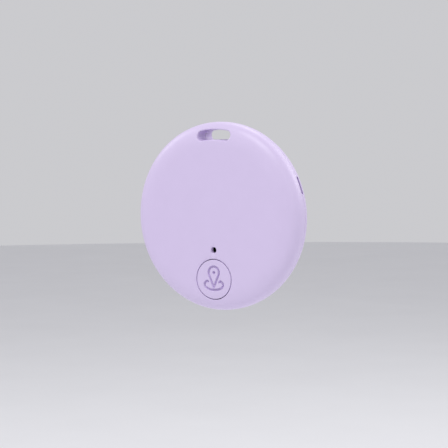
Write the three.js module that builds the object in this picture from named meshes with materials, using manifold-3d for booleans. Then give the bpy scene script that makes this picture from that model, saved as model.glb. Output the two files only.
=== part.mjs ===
// A round Bluetooth tracker tag, 42 mm across and 7 mm thick, that hangs from a key ring by a slot.
//
// Two moulded shells meet at a seam round the rim. Between them lie a horseshoe circuit board with a
// push switch, a piezo sounder on the front wall, and a coin cell in a tray.
//
// Sizes and places are in millimetres from the centre of the disc. +Z points up to the key-ring
// slot, -Y is the front face with the button, and +X is to the right as that face is seen. At the
// end the whole tag is lowered, so that it hangs with the slot's centre at the origin.
import * as THREE from "three";
import { mergeVertices } from "three/addons/utils/BufferGeometryUtils.js";
import Module from "manifold-3d";

const wasm = await Module();
wasm.setup();

// ---- driving dimensions ----
const RADIUS = 21; // the disc
const HALF = 3.5; // half the thickness
const EDGE = 5.35; // how far in from the rim the rounded edge begins
const EDGE_POWER = 2.65; // the edge is a superellipse: 2 is an ellipse, more is squarer
const WALL = 1.0; // front and back walls
const RIM_WALL = 1.3; // the front shell's wall at the seam
const LIP = 0.7; // thickness of the rear shell's lip
const LIP_REACH = 1.2; // how far the lip goes into the front shell
const FIT = 0.1; // clearance between pieces that slide together
const NEAR = 0.05; // gap between pieces that lie against each other
const SEAM_Y = 0.3; // where the shells meet
const INNER = HALF - WALL; // the inner faces of the front and back walls

const SLOT = { z: 18.2, reach: 4.24, half: 1.12, wall: 0.9 }; // a slot that follows the rim
const NOTCH = { angle: 20, width: 4.0, height: 0.6, depth: 0.8 }; // a coin opens the shells here
const PORT = { z: -7.36, radius: 0.68 }; // sound and light come out here
const BUTTON = { z: -13.9, radius: 4.38, gap: 0.14, travel: 0.4, bottom: -2.2 };

const BOARD = { radius: 18.6, front: -0.4, back: 0.4, opening: 11.0 };
const CELL = { z: 4.6, radius: 10, front: -0.9, back: 2.3 };
const TRAY = { floor: -1.5, floorTop: -1.15, inner: 10.2, outer: 10.8, flange: 12.0 };
const SOUNDER = { ring: 0.4, brass: 0.2, ceramic: 0.2, radius: 10, ceramicRadius: 7 };
const STAKES = [
  [15.6, 1.0],
  [-15.6, 1.0],
  [9.3, -13.6],
  [-9.3, -13.6],
];
const STRUTS = [
  [15.0, -8.0],
  [-15.0, -8.0],
  [14.2, 10.4],
  [-14.2, 10.4],
];
const ROUND = 72; // facets of the disc
const TURNED = 48; // facets of a smaller turned piece
const THIN = 24; // facets of a pin or a post

// ---- materials ----
const finish = (color, roughness, metalness = 0) =>
  new THREE.MeshStandardMaterial({ color, roughness, metalness });
const LAVENDER = finish(0xcfc1e6, 0.42);
const BOARD_GREEN = finish(0x1d4f38, 0.5);
const BLACK_PLASTIC = finish(0x1c1c1f, 0.55);
const WHITE_PLASTIC = finish(0xe9e7e0, 0.5);
const STEEL = finish(0xb9bcc0, 0.3, 1);
const BRASS = finish(0xc9a552, 0.35, 1);
const CERAMIC = finish(0xe6e1d4, 0.6);
const CAPACITOR = finish(0xa98a63, 0.5);
const FOAM = finish(0x2a2a2c, 0.95);
const RED = finish(0xb52222, 0.5);
const LED_LENS = finish(0xf2efdf, 0.25);

// ---- solids ----
// A closed three.js geometry as a manifold-3d solid that faces outwards.
function solid(geometry) {
  const bare = (geometry.index ? geometry.toNonIndexed() : geometry.clone())
    .deleteAttribute("normal")
    .deleteAttribute("uv");
  const merged = mergeVertices(bare, 1e-4);
  const corners = [];
  for (let i = 0; i < merged.index.count; i += 3) {
    const [a, b, c] = merged.index.array.subarray(i, i + 3);
    if (a !== b && b !== c && c !== a) corners.push(a, b, c);
  }
  const make = (triVerts) =>
    new wasm.Manifold(
      new wasm.Mesh({
        numProp: 3,
        vertProperties: merged.attributes.position.array,
        triVerts,
      }),
    );
  const made = make(new Uint32Array(corners));
  return made.volume() > 0 ? made : make(new Uint32Array(corners.reverse()));
}

const join = (first, ...others) => others.reduce((whole, one) => whole.add(one), first);
const cut = (first, ...others) => others.reduce((whole, one) => whole.subtract(one), first);

// A solid turned about the Y axis through (0, z), from [radius, y] pairs.
function turned(profile, { z = 0, facets = TURNED, closed = false } = {}) {
  const points = profile.map(([r, y]) => new THREE.Vector2(r, y));
  if (closed) points.push(points[0].clone());
  return solid(new THREE.LatheGeometry(points, facets).translate(0, 0, z));
}

// A round bar along Y, from y0 to y1.
const bar = (radius, y0, y1, x = 0, z = 0, facets = THIN) =>
  solid(new THREE.CylinderGeometry(radius, radius, y1 - y0, facets).translate(x, (y0 + y1) / 2, z));

// A ring about the Y axis through (0, z).
const ring = (inner, outer, y0, y1, z = 0, facets = TURNED) =>
  cut(bar(outer, y0, y1, 0, z, facets), bar(inner, y0 - 1, y1 + 1, 0, z, facets));

const block = ([x0, x1], [y0, y1], [z0, z1]) =>
  solid(
    new THREE.BoxGeometry(x1 - x0, y1 - y0, z1 - z0).translate(
      (x0 + x1) / 2,
      (y0 + y1) / 2,
      (z0 + z1) / 2,
    ),
  );

// A shape drawn in X and Z, as a plate from y0 to y1.
const plate = (shape, y0, y1) =>
  solid(
    new THREE.ExtrudeGeometry(shape, { depth: y1 - y0, bevelEnabled: false, curveSegments: 12 })
      .rotateX(Math.PI / 2)
      .translate(0, y1, 0),
  );

// [radius, y] pairs down the rounded edge from y0 to y1: a superellipse, stepped by its own angle.
function edge(radius, half, run, y0, y1, steps) {
  const power = 2 / EDGE_POWER;
  const slant = (y) => Math.sign(y) * Math.asin(Math.min(1, Math.abs(y / half) ** (1 / power)));
  return Array.from({ length: steps + 1 }, (_, i) => {
    const turn = slant(y0) + ((slant(y1) - slant(y0)) * i) / steps;
    return [
      radius - run + run * Math.cos(turn) ** power,
      Math.sign(turn) * half * Math.abs(Math.sin(turn)) ** power,
    ];
  });
}

// The whole outside, and the hollow inside a shell whose wall is `wall` thick at the seam.
const outside = () =>
  turned([[0, -HALF], ...edge(RADIUS, HALF, EDGE, -HALF, HALF, 16), [0, HALF]], { facets: ROUND });
const hollow = (wall) =>
  turned([[0, -INNER], ...edge(RADIUS - wall, INNER, EDGE - wall, -INNER, INNER, 12), [0, INNER]], {
    facets: TURNED,
  });

// The key-ring slot's outline, grown by `grow`: an arc about the disc's centre with round ends.
function slotShape(grow = 0) {
  const r = SLOT.half + grow;
  const turn = (SLOT.reach - SLOT.half) / SLOT.z;
  const left = Math.PI / 2 + turn;
  const right = Math.PI / 2 - turn;
  const shape = new THREE.Shape();
  const end = (angle, from, to) =>
    shape.absarc(SLOT.z * Math.cos(angle), SLOT.z * Math.sin(angle), r, from, to, false);
  shape.absarc(0, 0, SLOT.z + r, right, left, false);
  end(left, left, left + Math.PI);
  shape.absarc(0, 0, SLOT.z - r, left, right, true);
  end(right, right + Math.PI, right + 2 * Math.PI);
  return shape;
}

// The pocket in the rim that a coin goes into, across the seam.
function notch() {
  const pocket = new THREE.BoxGeometry(2 * NOTCH.depth, NOTCH.height, NOTCH.width);
  const turn = THREE.MathUtils.degToRad(NOTCH.angle);
  return solid(pocket.translate(RADIUS, SEAM_Y, 0).rotateY(-turn));
}

// A sheet-metal strip: its centre line in X and Y, mitred to one thickness, `width` wide in Z.
function strip(line, thickness, width, z) {
  const points = line.map(([x, y]) => new THREE.Vector2(x, y));
  const normals = points.slice(1).map((point, i) => {
    const along = point.clone().sub(points[i]).normalize();
    return new THREE.Vector2(-along.y, along.x);
  });
  const side = (offset) =>
    points.map((point, i) => {
      const before = normals[Math.max(0, i - 1)];
      const mitre = before.clone().add(normals[Math.min(i, normals.length - 1)]).normalize();
      return point.clone().addScaledVector(mitre, offset / mitre.dot(before));
    });
  const shape = new THREE.Shape([...side(thickness / 2), ...side(-thickness / 2).reverse()]);
  const bent = new THREE.ExtrudeGeometry(shape, { depth: width, bevelEnabled: false });
  return solid(bent.translate(0, 0, z - width / 2));
}

// ---- casing ----
function frontShell() {
  // The rebate takes the rear shell's lip.
  const rebate = bar(RADIUS - RIM_WALL + 0.05, SEAM_Y - LIP_REACH - 0.1, 1, 0, 0, ROUND);
  const beyondSeam = block([-30, 30], [SEAM_Y - NEAR / 2, 9], [-30, 30]);
  const body = cut(outside(), beyondSeam, hollow(RIM_WALL), rebate);
  const slotWall = plate(slotShape(SLOT.wall), -HALF, SEAM_Y - NEAR / 2).intersect(outside());
  // Each stake goes through the board and is melted over it.
  const stakes = STAKES.map(([x, z]) =>
    join(
      bar(1.1, -INNER - 0.3, BOARD.front - NEAR, x, z),
      bar(0.5, -INNER, BOARD.back + 0.3, x, z),
      bar(0.85, BOARD.back + NEAR, BOARD.back + 0.35, x, z),
    ).intersect(outside()),
  );
  return cut(
    join(body, slotWall, ...stakes),
    plate(slotShape(), -9, 9),
    bar(BUTTON.radius + BUTTON.gap, -9, 0, 0, BUTTON.z, TURNED),
    bar(PORT.radius, -9, -1, 0, PORT.z),
    notch(),
  );
}

function rearShell() {
  const lipOuter = RADIUS - RIM_WALL - FIT;
  const lipInner = lipOuter - LIP;
  const shell = cut(outside(), block([-30, 30], [-9, SEAM_Y + NEAR / 2], [-30, 30]));
  const lip = ring(lipInner, lipOuter, SEAM_Y - LIP_REACH, SEAM_Y + 0.5, 0, ROUND);
  const slotWall = plate(slotShape(SLOT.wall), SEAM_Y + NEAR / 2, HALF).intersect(outside());
  const cellRib = cut(
    ring(CELL.radius + 0.3, CELL.radius + 0.9, 1.1, INNER + 0.2, CELL.z),
    block([7, 14], [0, 3], [CELL.z - 2.6, CELL.z + 2.6]),
  );
  const struts = STRUTS.map(([x, z]) => bar(0.9, BOARD.back + NEAR, INNER + 0.3, x, z, 12));
  const lipGap = block([-6.4, 6.4], [-3, SEAM_Y + NEAR / 2], [10, 22]); // clears the slot's wall
  const walls = cut(shell, hollow(RADIUS - lipInner));
  return cut(
    join(walls, cut(lip, lipGap), slotWall, cellRib, ...struts),
    plate(slotShape(), -9, 9),
    notch(),
  );
}

// The cap's face carries on the front shell's surface. Two ears behind the wall keep it in.
function buttonCap() {
  const cap = bar(BUTTON.radius, -9, BUTTON.bottom, 0, BUTTON.z, TURNED).intersect(outside());
  const earReach = BUTTON.radius + 1.1;
  const ears = block(
    [-earReach, earReach],
    [-INNER + 0.08, -INNER + 0.48],
    [BUTTON.z - 1.3, BUTTON.z + 1.7],
  );
  return join(cap, ears, bar(1.0, -INNER, -1.8, 0, BUTTON.z));
}

// ---- push switch, on the front of the board behind the button ----
const SWITCH = { side: 4.5, top: -1.2, well: 1.7, wellFloor: -0.66 };

function switchBase() {
  const half = SWITCH.side / 2;
  const z = [BUTTON.z - half, BUTTON.z + half];
  return cut(
    block([-half, half], [SWITCH.top, BOARD.front - 0.02], z),
    bar(SWITCH.well, SWITCH.top - 1, SWITCH.wellFloor, 0, BUTTON.z),
  );
}

// A snap dome of thin steel, crowned towards the button.
function switchDome() {
  const [reach, rise, sheet, base] = [1.55, 0.28, 0.07, SWITCH.wellFloor - 0.02];
  const skin = (lift) =>
    Array.from({ length: 6 }, (_, i) => {
      const r = (reach * i) / 5;
      return [r, base - lift - rise * (1 - (r / reach) ** 2)];
    });
  return turned([...skin(sheet), ...skin(0).reverse()], { z: BUTTON.z, facets: THIN });
}

const switchPlunger = () =>
  join(bar(0.95, -1.7, -1.1, 0, BUTTON.z), bar(1.4, -1.18, -1.05, 0, BUTTON.z));

function switchCover() {
  const half = SWITCH.side / 2;
  const sheet = 0.15;
  const top = SWITCH.top - 0.02;
  const clip = [BUTTON.z - 1.2, BUTTON.z + 1.2];
  const reach = half + 0.02 + sheet;
  return cut(
    join(
      block([-half, half], [top - sheet, top], [BUTTON.z - half, BUTTON.z + half]),
      block([-reach, reach], [top - sheet, top], clip),
      block([-reach, sheet - reach], [top - sheet, -0.5], clip),
      block([reach - sheet, reach], [top - sheet, -0.5], clip),
    ),
    bar(1.08, -3, 0, 0, BUTTON.z),
  );
}

// ---- circuit board: a horseshoe round the cell ----
function mainBoard() {
  return cut(
    bar(BOARD.radius, BOARD.front, BOARD.back, 0, 0, ROUND),
    bar(BOARD.opening, -2, 2, 0, CELL.z, TURNED),
    block([-6.4, 6.4], [-2, 2], [12, 30]),
    ...STAKES.map(([x, z]) => bar(0.62, -2, 2, x, z)),
  );
}

// ---- sounder ----
const ringBack = -INNER + SOUNDER.ring;
const brassBack = ringBack + SOUNDER.brass;
const ceramicBack = brassBack + SOUNDER.ceramic;

const sounderRing = () => ring(SOUNDER.radius - 1.4, SOUNDER.radius, -INNER, ringBack, CELL.z);
const sounderBrass = () => bar(SOUNDER.radius, ringBack, brassBack, 0, CELL.z, TURNED);
const sounderCeramic = () => bar(SOUNDER.ceramicRadius, brassBack, ceramicBack, 0, CELL.z, TURNED);

// An insulated wire from a solder joint on the sounder to one on the board, along its own curve.
function lead(route, sounderFace) {
  const path = new THREE.CatmullRomCurve3(route.map((p) => new THREE.Vector3(...p)));
  const round = new THREE.EllipseCurve(0, 0, 0.18, 0.18).getPoints(8);
  const section = new THREE.Shape(round.slice(0, 8));
  const wire = solid(new THREE.ExtrudeGeometry(section, { steps: 12, extrudePath: path }));
  const [start, end] = [route[0], route.at(-1)];
  return join(
    wire,
    bar(0.42, sounderFace + 0.02, sounderFace + 0.36, start[0], start[2], 12),
    bar(0.42, BOARD.front - 0.34, BOARD.front - 0.02, end[0], end[2], 12),
  );
}

const RED_ROUTE = [
  [1.4, -1.5, -1.7],
  [1.5, -1.32, -3.2],
  [1.7, -1.3, -5.6],
  [2.0, -0.95, -7.3],
  [2.1, -0.6, -8.3],
];
const BLACK_ROUTE = [
  [-1.5, -1.7, -3.9],
  [-1.55, -1.4, -4.8],
  [-1.7, -1.28, -5.9],
  [-2.0, -0.95, -7.3],
  [-2.1, -0.6, -8.3],
];

// ---- cell tray ----
function cellTray() {
  const cup = join(
    bar(TRAY.outer, TRAY.floor, TRAY.floorTop, 0, CELL.z, TURNED),
    ring(TRAY.inner, TRAY.outer, TRAY.floor, BOARD.back + 0.1, CELL.z),
    ring(TRAY.inner, TRAY.flange, BOARD.back + NEAR, BOARD.back + 0.45, CELL.z),
    ring(9.2, 9.9, brassBack + NEAR, TRAY.floor + 0.1, CELL.z), // presses on the sounder's rim
  );
  const side = [CELL.z - 1.8, CELL.z + 1.8];
  return cut(
    cup,
    bar(2.5, -3, 0, 0, CELL.z),
    block([-3.2, 3.2], [-3, -0.75], [-9, -0.6]), // window for the sounder's leads
    block([-12.5, -9.5], [TRAY.floorTop, 0.3], side), // the negative contact leaves here
    block([9.5, 12.5], [-0.95, 2], side), // the positive contact reaches in here
    block([-13, 13], [-3, 2], [15.45, 18]), // clears the slot's wall
  );
}

// ---- contacts ----
const SHEET = 0.12;

// It lies on the tray's floor, bears on the cell's cap, and steps up to the front of the board.
const NEGATIVE_LINE = [
  [4, -1.07],
  [1.6, -1.06],
  [0.5, -1.0],
  [-0.5, -1.0],
  [-1.6, -1.06],
  [-10.6, -1.06],
  [-11.6, -0.49],
  [-14.2, -0.49],
];
const negativeContact = () => strip(NEGATIVE_LINE, SHEET, 2.8, CELL.z);

// It stands on the back of the board and folds over to bear on the can's side.
const POSITIVE_LINE = [
  [14.4, 0.49],
  [12.1, 0.49],
  [11.8, 0.75],
  [11.75, 1.85],
  [11.45, 2.15],
  [11.1, 2.0],
  [10.12, 1.3],
  [10.12, 0.95],
  [10.6, 0.35],
];
const positiveContact = () => strip(POSITIVE_LINE, SHEET, 2.8, CELL.z);

// ---- coin cell: a 20 mm can, 3.2 mm high, with its cap towards the front ----
function cellCan() {
  const r = CELL.radius;
  const sheet = 0.25;
  const back = CELL.back;
  return turned(
    [
      [0, back],
      [r - 0.25, back],
      [r, back - 0.25],
      [r, CELL.front + 0.55],
      [r - 0.3, CELL.front + 0.2],
      [r - 0.65, CELL.front + 0.16],
      [r - 0.65, CELL.front + 0.34],
      [r - sheet - 0.15, CELL.front + 0.5],
      [r - sheet, CELL.front + 0.75],
      [r - sheet, back - sheet],
      [0, back - sheet],
    ],
    { z: CELL.z },
  );
}

function cellSeal() {
  const front = CELL.front;
  return turned(
    [
      [9.0, front + 0.28],
      [9.3, front + 0.28],
      [9.3, front + 0.38],
      [9.55, front + 0.55],
      [9.7, front + 0.8],
      [9.7, CELL.back - 0.4],
      [9.45, CELL.back - 0.4],
      [9.45, front + 0.7],
      [9.0, front + 0.5],
    ],
    { z: CELL.z, closed: true },
  );
}

function cellCap() {
  const sheet = 0.25;
  const front = CELL.front;
  return turned(
    [
      [0, front],
      [8.6, front],
      [8.85, front + sheet],
      [8.9, front + 0.52],
      [9.38, front + 0.74],
      [9.38, front + 0.9],
      [8.7, front + 0.72],
      [8.55, front + sheet + 0.05],
      [0, front + sheet],
    ],
    { z: CELL.z },
  );
}

const cellCore = () => bar(9.35, CELL.front + 1.0, CELL.back - 0.3, 0, CELL.z, TURNED);

// ---- the assembly ----
const tag = new THREE.Group();

// Adds a finished solid to its group as a mesh.
function fit(name, made, material, parent) {
  const { vertProperties, triVerts } = made.getMesh();
  const geometry = new THREE.BufferGeometry()
    .setAttribute("position", new THREE.BufferAttribute(new Float32Array(vertProperties), 3))
    .setIndex(new THREE.BufferAttribute(new Uint32Array(triVerts), 1));
  geometry.computeVertexNormals();
  const mesh = new THREE.Mesh(geometry, material);
  mesh.name = name;
  parent.add(mesh);
}

const casing = new THREE.Group();
fit("front_shell", frontShell(), LAVENDER, casing);
fit("rear_shell", rearShell(), LAVENDER, casing);
fit("button_cap", buttonCap(), LAVENDER, casing);
fit("foam_pad", bar(4.5, CELL.back + 0.03, INNER - 0.02, 0, CELL.z), FOAM, casing);

const pushSwitch = new THREE.Group();
fit("switch_base", switchBase(), BLACK_PLASTIC, pushSwitch);
fit("switch_dome", switchDome(), STEEL, pushSwitch);
fit("switch_plunger", switchPlunger(), BLACK_PLASTIC, pushSwitch);
fit("switch_cover", switchCover(), STEEL, pushSwitch);

const power = new THREE.Group();
fit("cell_tray", cellTray(), WHITE_PLASTIC, power);
fit("negative_contact", negativeContact(), STEEL, power);
fit("positive_contact", positiveContact(), STEEL, power);
fit("cell_can", cellCan(), STEEL, power);
fit("cell_seal", cellSeal(), BLACK_PLASTIC, power);
fit("cell_cap", cellCap(), STEEL, power);
fit("cell_core", cellCore(), BLACK_PLASTIC, power);

const sounder = new THREE.Group();
fit("sounder_ring", sounderRing(), FOAM, sounder);
fit("sounder_brass", sounderBrass(), BRASS, sounder);
fit("sounder_ceramic", sounderCeramic(), CERAMIC, sounder);
fit("sounder_lead_red", lead(RED_ROUTE, ceramicBack), RED, sounder);
fit("sounder_lead_black", lead(BLACK_ROUTE, brassBack), BLACK_PLASTIC, sounder);

const electronics = new THREE.Group();
fit("main_board", mainBoard(), BOARD_GREEN, electronics);

// A component is a block soldered flat on one side of the board.
const SOLDER = 0.02;
function component(name, [width, height, length], [x, z], material, turn = 0, onFront = false) {
  const mesh = new THREE.Mesh(new THREE.BoxGeometry(width, height, length), material);
  const lift = height / 2 + SOLDER;
  mesh.name = name;
  mesh.position.set(x, onFront ? BOARD.front - lift : BOARD.back + lift, z);
  mesh.rotation.y = THREE.MathUtils.degToRad(turn);
  electronics.add(mesh);
}

component("radio_chip", [4, 0.8, 4], [-5.6, -11.4], BLACK_PLASTIC);
component("radio_crystal", [3.2, 0.7, 2.5], [-10.8, -8.7], STEEL, 45);
component("boost_inductor", [3, 1.2, 3], [5.4, -11.3], BLACK_PLASTIC);
component("sounder_driver", [2.9, 1.0, 1.3], [10.6, -8.6], BLACK_PLASTIC, -45);
component("status_led", [1.6, 0.6, 0.8], [0, -7.7], LED_LENS, 0, true);

const CHIP_0603 = [1.6, 0.6, 0.8];
[
  [-1.6, -10.2, 90],
  [-0.2, -10.2, 90],
  [1.2, -10.2, 90],
  [-5.6, -15.6, 0],
  [-13.6, -5.2, 60],
  [13.4, -5.4, -60],
].forEach(([x, z, turn], i) => component(`capacitor_${i + 1}`, CHIP_0603, [x, z], CAPACITOR, turn));
[
  [-2.4, -16.2, 0],
  [5.2, -15.4, 0],
  [1.8, -16.2, 0],
].forEach(([x, z, turn], i) =>
  component(`resistor_${i + 1}`, [1.6, 0.45, 0.8], [x, z], BLACK_PLASTIC, turn),
);

tag.add(casing, pushSwitch, power, sounder, electronics);
tag.position.z = -SLOT.z;

export default tag;
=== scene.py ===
"""A round Bluetooth tracker tag: fine mouldings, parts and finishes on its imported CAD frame."""

import math

import bmesh
import bpy
import numpy as np
from mathutils import Matrix, Quaternion, Vector


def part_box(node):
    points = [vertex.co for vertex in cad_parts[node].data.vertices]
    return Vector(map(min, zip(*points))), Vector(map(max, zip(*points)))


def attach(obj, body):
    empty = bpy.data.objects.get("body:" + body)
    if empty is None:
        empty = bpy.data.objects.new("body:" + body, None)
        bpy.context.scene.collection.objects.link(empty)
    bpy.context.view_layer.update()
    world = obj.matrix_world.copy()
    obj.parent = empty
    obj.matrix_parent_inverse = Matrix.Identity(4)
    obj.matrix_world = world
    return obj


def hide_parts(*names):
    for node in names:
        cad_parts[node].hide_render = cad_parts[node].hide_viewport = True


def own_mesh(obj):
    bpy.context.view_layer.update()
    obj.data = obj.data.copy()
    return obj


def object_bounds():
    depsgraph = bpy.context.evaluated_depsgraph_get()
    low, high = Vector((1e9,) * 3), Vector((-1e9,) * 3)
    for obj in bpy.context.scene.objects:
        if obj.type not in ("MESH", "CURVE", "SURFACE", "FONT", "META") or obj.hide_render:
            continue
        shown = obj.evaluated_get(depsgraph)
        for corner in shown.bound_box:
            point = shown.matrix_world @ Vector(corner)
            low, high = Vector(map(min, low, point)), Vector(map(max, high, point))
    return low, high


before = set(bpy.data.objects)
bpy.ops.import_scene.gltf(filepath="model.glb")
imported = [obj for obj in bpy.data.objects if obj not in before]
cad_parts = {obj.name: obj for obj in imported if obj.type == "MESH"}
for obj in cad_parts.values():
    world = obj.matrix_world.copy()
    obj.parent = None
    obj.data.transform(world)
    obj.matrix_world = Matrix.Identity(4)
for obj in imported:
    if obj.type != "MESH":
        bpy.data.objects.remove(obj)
cad_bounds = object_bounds()

# ---- sizes, in millimetres from the centre of the disc ----
# A piece is modelled round that centre, with the slot up +Z and the button facing -Y, and is then
# put in place.
MM = 0.001
shell_low, shell_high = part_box("front_shell")
CENTRE = (shell_low + shell_high) / 2
CENTRE.y = 0.0
PLACE = Matrix.Translation(CENTRE) @ Matrix.Scale(MM, 4)

RADIUS = (shell_high.x - shell_low.x) / 2 / MM
HALF = -shell_low.y / MM
EDGE = 5.35  # how far in from the rim the rounded edge begins
EDGE_POWER = 2.65  # 2 would make the edge an ellipse; more is squarer
WALL = 1.0
RIM_WALL = 1.3
LIP = 0.7  # thickness of the rear half's lip, and how far it reaches into the front half
LIP_REACH = 1.2
FIT = 0.1  # clearance of the lip
NEAR = 0.05  # gap between pieces that touch
SEAM_Y = 0.3
INNER = HALF - WALL

SLOT_RADIUS = 18.2  # the slot's centre line is an arc about the disc's centre
SLOT_REACH = 4.24
SLOT_HALF = 1.12
SLOT_WALL = 0.9
SLOT_TURN = (SLOT_REACH - SLOT_HALF) / SLOT_RADIUS
SLOT_SOFT = 0.32  # radius of the slot's rounded edge
PORT_Z = -7.36
PORT_RADIUS = 0.68
BUTTON_Z = -13.9
BUTTON_RADIUS = 4.38
BUTTON_GAP = 0.17
BUTTON_BOTTOM = -2.2
SMALL_SOFT = 0.12  # radius of the other moulded edges
SEAM_SOFT = 0.06
NOTCH_ANGLE = math.radians(20)
NOTCH_SLANT = math.radians(35)
NOTCH_SIZE = (3.0, 0.54, 4.0)
ICON_WIDTH = 0.42
ICON_DOT = 0.6
ICON_DEPTH = 0.6
STAKES = ((15.6, 1.0), (-15.6, 1.0), (9.3, -13.6), (-9.3, -13.6))
STRUTS = ((15.0, -8.0), (-15.0, -8.0), (14.2, 10.4), (-14.2, 10.4))
CELL_Z = 4.6
BOARD_FRONT = -0.4
BOARD_BACK = 0.4
BOARD_RADIUS = 18.6
BOARD_OPENING = 11.0

TURNS = 240  # steps round the disc
SLIVER = 0.002  # points closer than this after a cut are one point
ON_SKIN = 0.03  # a point this close to the outer skin is on it
FINE_MARGIN = 0.35  # how far past a rounded edge the skin's mesh is made finer
WALL_SET_BACK = 0.02  # how far the slot's wall stops short of the seam
STAKE_RADIUS = 1.1
STAKE_PIN = 0.5
STAKE_HEAD = 0.85
SWITCH_HALF = 2.25
SWITCH_TOP = -1.2
CELL_FRONT = -0.9
CELL_BACK = 2.3
CELL_RADIUS = 10
TRACK_WIDTH = 0.28


# ---- shapes ----
def edge_curve(radius, half, run, start, stop, steps):
    """[radius, y] pairs along a disc's superellipse edge, from y = start to y = stop."""
    power = 2 / EDGE_POWER

    def slant(y):
        return math.copysign(math.asin(min(1, abs(y / half) ** (1 / power))), y)

    pairs = []
    for step in range(steps + 1):
        turn = slant(start) + (slant(stop) - slant(start)) * step / steps
        y = math.copysign(half * math.sin(abs(turn)) ** power, turn)
        pairs.append((radius - run + run * math.cos(turn) ** power, y))
    return pairs


def skin_depth(r):
    """How far the outer skin lies from the disc's middle plane, r from its axis."""
    share = max(0, r - (RADIUS - EDGE)) / EDGE
    return HALF * max(0, 1 - share**EDGE_POWER) ** (1 / EDGE_POWER)


def face_rings(radius, y, spacing=0.9):
    """[radius, y] pairs across a flat face, from the axis outwards."""
    count = round(radius / spacing)
    return [(radius * i / count, y) for i in range(count)]


def revolve(profile, z=0.0, turns=TURNS, closed=False):
    """A solid turned from [radius, y] pairs about the axis along Y through (0, z)."""
    bm = bmesh.new()
    verts = [bm.verts.new((r, y, 0)) for r, y in profile]
    for a, b in zip(verts, verts[1:] + verts[: 1 if closed else 0]):
        bm.edges.new((a, b))
    bmesh.ops.spin(
        bm,
        geom=bm.verts[:] + bm.edges[:],
        cent=(0, 0, 0),
        axis=(0, 1, 0),
        angle=math.tau,
        steps=turns,
        use_merge=True,
    )
    bmesh.ops.remove_doubles(bm, verts=bm.verts, dist=1e-4)
    bmesh.ops.recalc_face_normals(bm, faces=bm.faces)
    bmesh.ops.translate(bm, verts=bm.verts, vec=(0, 0, z))
    return bm


def rod(radius, y0, y1, x=0.0, z=0.0, segments=64):
    """A round bar along Y."""
    bm = bmesh.new()
    upright = Matrix.Translation((x, (y0 + y1) / 2, z)) @ Matrix.Rotation(math.pi / 2, 4, "X")
    bmesh.ops.create_cone(
        bm,
        cap_ends=True,
        segments=segments,
        radius1=radius,
        radius2=radius,
        depth=y1 - y0,
        matrix=upright,
    )
    return bm


def block(size, centre, turn=0.0, soft=0.0, segments=2):
    """A box, turned about Y, with its edges rounded by soft."""
    bm = bmesh.new()
    bmesh.ops.create_cube(bm, size=1, matrix=Matrix.Diagonal((*size, 1)))
    if soft:
        bmesh.ops.bevel(
            bm,
            geom=bm.edges[:],
            offset=soft,
            segments=segments,
            affect="EDGES",
            profile=0.5,
            material=-1,
            clamp_overlap=True,
        )
    place = Matrix.Translation(centre) @ Matrix.Rotation(turn, 4, "Y")
    bmesh.ops.transform(bm, matrix=place, verts=bm.verts)
    return bm


def slot_bar(grow, y0, y1):
    """The key-ring slot as a solid bar, grown all round: an arc with round ends."""
    half = SLOT_HALF + grow
    right, left = (
        Vector((math.sin(turn), 0, math.cos(turn))) for turn in (SLOT_TURN, -SLOT_TURN)
    )
    bm = bmesh.new()
    vert = bm.verts.new(right * (SLOT_RADIUS + half))
    for centre, angle, steps in (
        (Vector(), -2 * SLOT_TURN, 20),
        (left * SLOT_RADIUS, -math.pi, 24),
        (Vector(), 2 * SLOT_TURN, 20),
        (right * SLOT_RADIUS, -math.pi, 24),
    ):
        made = bmesh.ops.spin(
            bm, geom=[vert], cent=centre, axis=(0, 1, 0), angle=angle, steps=steps
        )
        vert = made["geom_last"][0]
    bmesh.ops.remove_doubles(bm, verts=bm.verts, dist=1e-4)
    face = bmesh.ops.contextual_create(bm, geom=bm.edges)["faces"]
    bmesh.ops.translate(bm, verts=bm.verts, vec=(0, y0, 0))
    raised = bmesh.ops.extrude_face_region(bm, geom=face)["geom"]
    corners = [v for v in raised if isinstance(v, bmesh.types.BMVert)]
    bmesh.ops.translate(bm, verts=corners, vec=(0, y1 - y0, 0))
    bmesh.ops.recalc_face_normals(bm, faces=bm.faces)
    return bm


def rounded(line, run, steps=4):
    """The same chain of [a, b] pairs, with each corner inside it rounded over run either way."""
    curve = [tuple(line[0])]
    for before, corner, after in zip(line, line[1:], line[2:]):
        before, corner, after = Vector(before), Vector(corner), Vector(after)
        back, on = before - corner, after - corner
        back, on = (way.normalized() * min(run, way.length / 2.1) for way in (back, on))
        for share in (step / steps for step in range(steps + 1)):
            curve.append(tuple(corner + back * (1 - share) ** 2 + on * share**2))
    return curve + [tuple(line[-1])]


def strip(line, sheet, width, z, bend=0.2):
    """Sheet metal bent along a centre line of [x, y] pairs, width wide in Z."""
    bm = bmesh.new()
    verts = [bm.verts.new((x, y, z - width / 2)) for x, y in rounded(line, bend)]
    edges = [bm.edges.new(pair) for pair in zip(verts, verts[1:])]
    raised = bmesh.ops.extrude_edge_only(bm, edges=edges)["geom"]
    far = [v for v in raised if isinstance(v, bmesh.types.BMVert)]
    bmesh.ops.translate(bm, verts=far, vec=(0, 0, width))
    bmesh.ops.recalc_face_normals(bm, faces=bm.faces)
    bm.normal_update()
    for v in bm.verts:
        v.co += v.normal * sheet / 2
    bmesh.ops.solidify(bm, geom=bm.faces[:], thickness=sheet)
    bmesh.ops.recalc_face_normals(bm, faces=bm.faces)
    return bm


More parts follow.
